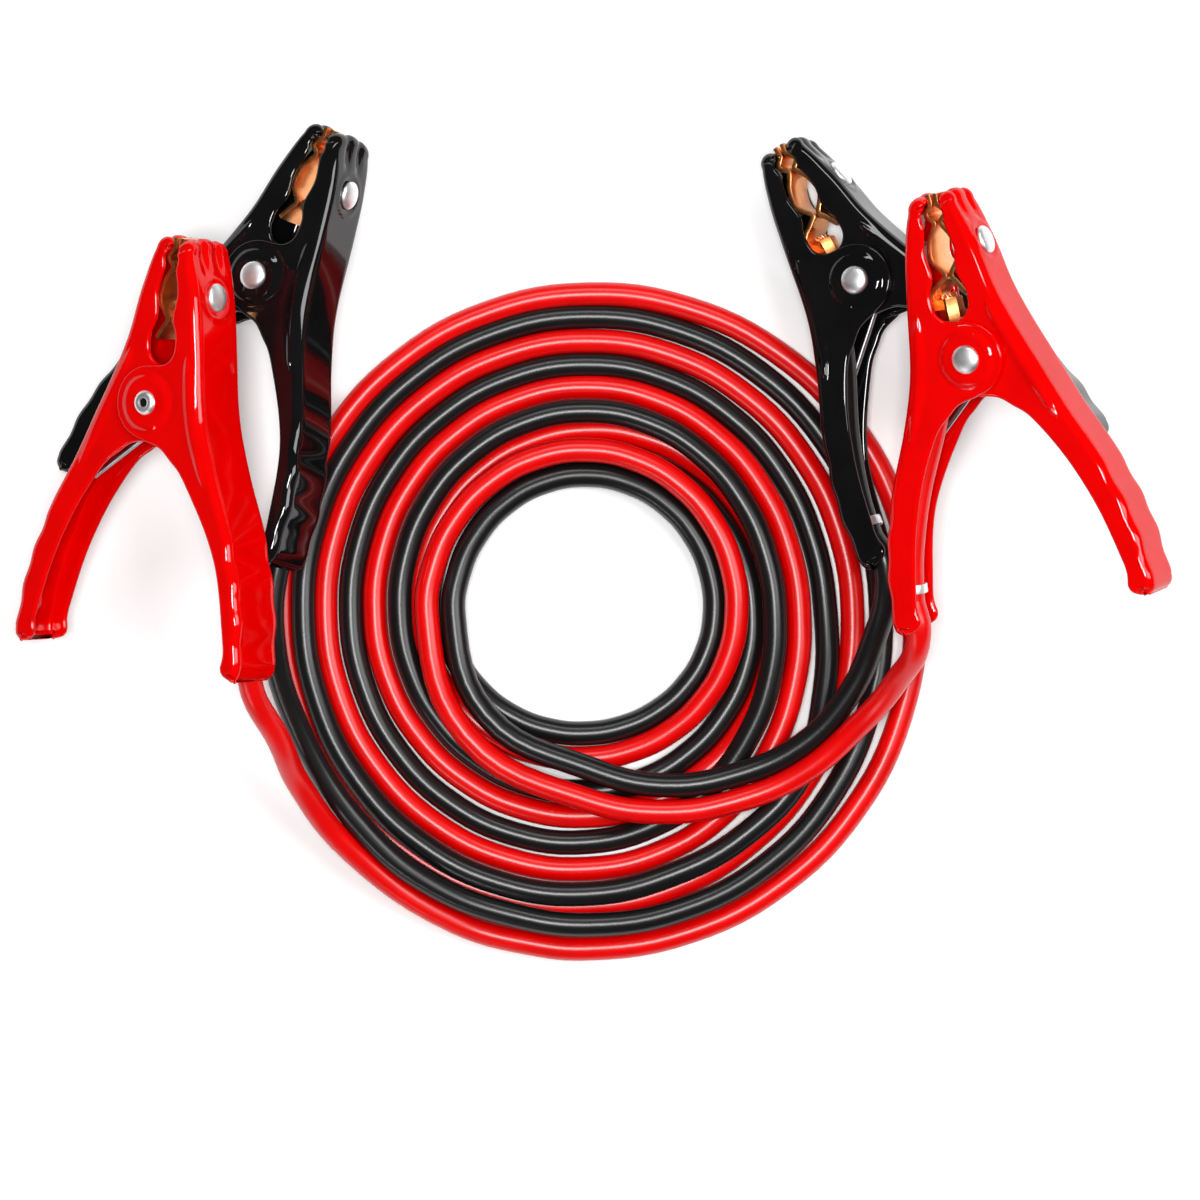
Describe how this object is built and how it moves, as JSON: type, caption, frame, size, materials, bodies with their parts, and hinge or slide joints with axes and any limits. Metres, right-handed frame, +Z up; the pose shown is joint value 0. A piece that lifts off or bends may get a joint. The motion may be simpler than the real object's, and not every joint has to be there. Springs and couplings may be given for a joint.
{
  "type": "booster cable",
  "caption": "Coiled twin booster cable in red and black with a sprung, vinyl-dipped copper-jaw clamp on every end.",
  "frame": {"origin": "centre of the clamps' bounding box at floor level, seen from above", "axes": "+Z up from the floor the coil lies on, +Y towards the jaws, +X towards the right-hand pair of clamps"},
  "size_m": [0.4506, 0.3307, 0.1185],
  "materials": {
    "red_vinyl": "dipped soft vinyl, glossy, bright red",
    "black_vinyl": "dipped soft vinyl, glossy, black",
    "red_sheath": "extruded vinyl jacket, satin gloss, red",
    "black_sheath": "extruded vinyl jacket, satin gloss, black",
    "copper": "bright copper plated pressed strip",
    "nickel": "satin nickel plated",
    "zinc_steel": "bright zinc plated tube",
    "spring_steel": "zinc plated spring wire",
    "pressed_steel": "pressed sheet steel under the vinyl"
  },
  "bodies": {
    "cable_and_cable_arms": {"left_red_cable_arm_steel": "pressed_steel", "left_red_cable_arm_coat": "red_vinyl", "left_red_cable_jaw": "copper", "left_red_cable_jaw_rivet": "nickel", "left_red_pivot_rivet": "nickel", "left_red_spacer_bush": "zinc_steel", "left_red_torsion_spring": "spring_steel", "left_red_cable_clip": "nickel", "left_red_conductor": "red_sheath", "left_black_cable_arm_steel": "pressed_steel", "left_black_cable_arm_coat": "black_vinyl", "left_black_cable_jaw": "copper", "left_black_cable_jaw_rivet": "nickel", "left_black_pivot_rivet": "nickel", "left_black_spacer_bush": "zinc_steel", "left_black_torsion_spring": "spring_steel", "left_black_cable_clip": "nickel", "left_black_conductor": "black_sheath", "right_red_cable_arm_steel": "pressed_steel", "right_red_cable_arm_coat": "red_vinyl", "right_red_cable_jaw": "copper", "right_red_cable_jaw_rivet": "nickel", "right_red_pivot_rivet": "nickel", "right_red_spacer_bush": "zinc_steel", "right_red_torsion_spring": "spring_steel", "right_red_cable_clip": "nickel", "right_red_conductor": "red_sheath", "right_black_cable_arm_steel": "pressed_steel", "right_black_cable_arm_coat": "black_vinyl", "right_black_cable_jaw": "copper", "right_black_cable_jaw_rivet": "nickel", "right_black_pivot_rivet": "nickel", "right_black_spacer_bush": "zinc_steel", "right_black_torsion_spring": "spring_steel", "right_black_cable_clip": "nickel", "right_black_conductor": "black_sheath", "cable_coil": "black_sheath", "left_red_tail": "red_sheath", "left_black_tail": "black_sheath", "right_red_tail": "red_sheath", "right_black_tail": "black_sheath"},
    "left_red_lever": {"left_red_lever_steel": "pressed_steel", "left_red_lever_coat": "red_vinyl", "left_red_lever_jaw": "copper", "left_red_lever_jaw_rivet": "nickel"},
    "left_black_lever": {"left_black_lever_steel": "pressed_steel", "left_black_lever_coat": "black_vinyl", "left_black_lever_jaw": "copper", "left_black_lever_jaw_rivet": "nickel"},
    "right_red_lever": {"right_red_lever_steel": "pressed_steel", "right_red_lever_coat": "red_vinyl", "right_red_lever_jaw": "copper", "right_red_lever_jaw_rivet": "nickel"},
    "right_black_lever": {"right_black_lever_steel": "pressed_steel", "right_black_lever_coat": "black_vinyl", "right_black_lever_jaw": "copper", "right_black_lever_jaw_rivet": "nickel"}
  },
  "joints": [
    {"name": "left_red_hinge", "type": "hinge", "parent": "cable_and_cable_arms", "child": "left_red_lever", "pos_m": [-0.1612, -0.0019, 0.068], "axis": [-0.5219, -0.0298, 0.8525], "range_deg": [0, 36], "stiffness_Nm_per_rad": 4, "springref_deg": -40.11, "deforming": ["left_red_torsion_spring"]},
    {"name": "left_black_hinge", "type": "hinge", "parent": "cable_and_cable_arms", "child": "left_black_lever", "pos_m": [-0.1228, 0.0465, 0.0395], "axis": [-0.423, 0.1243, 0.8976], "range_deg": [0, 36], "stiffness_Nm_per_rad": 4, "springref_deg": -40.11, "deforming": ["left_black_torsion_spring"]},
    {"name": "right_red_hinge", "type": "hinge", "parent": "cable_and_cable_arms", "child": "right_red_lever", "pos_m": [0.1527, 0.0158, 0.088], "axis": [0.461, 0.1621, -0.8725], "range_deg": [0, 36], "stiffness_Nm_per_rad": 4, "springref_deg": -40.11, "deforming": ["right_red_torsion_spring"]},
    {"name": "right_black_hinge", "type": "hinge", "parent": "cable_and_cable_arms", "child": "right_black_lever", "pos_m": [0.1121, 0.0471, 0.03], "axis": [0.4038, 0.0039, -0.9148], "range_deg": [0, 36], "stiffness_Nm_per_rad": 4, "springref_deg": -40.11, "deforming": ["right_black_torsion_spring"]}
  ]
}
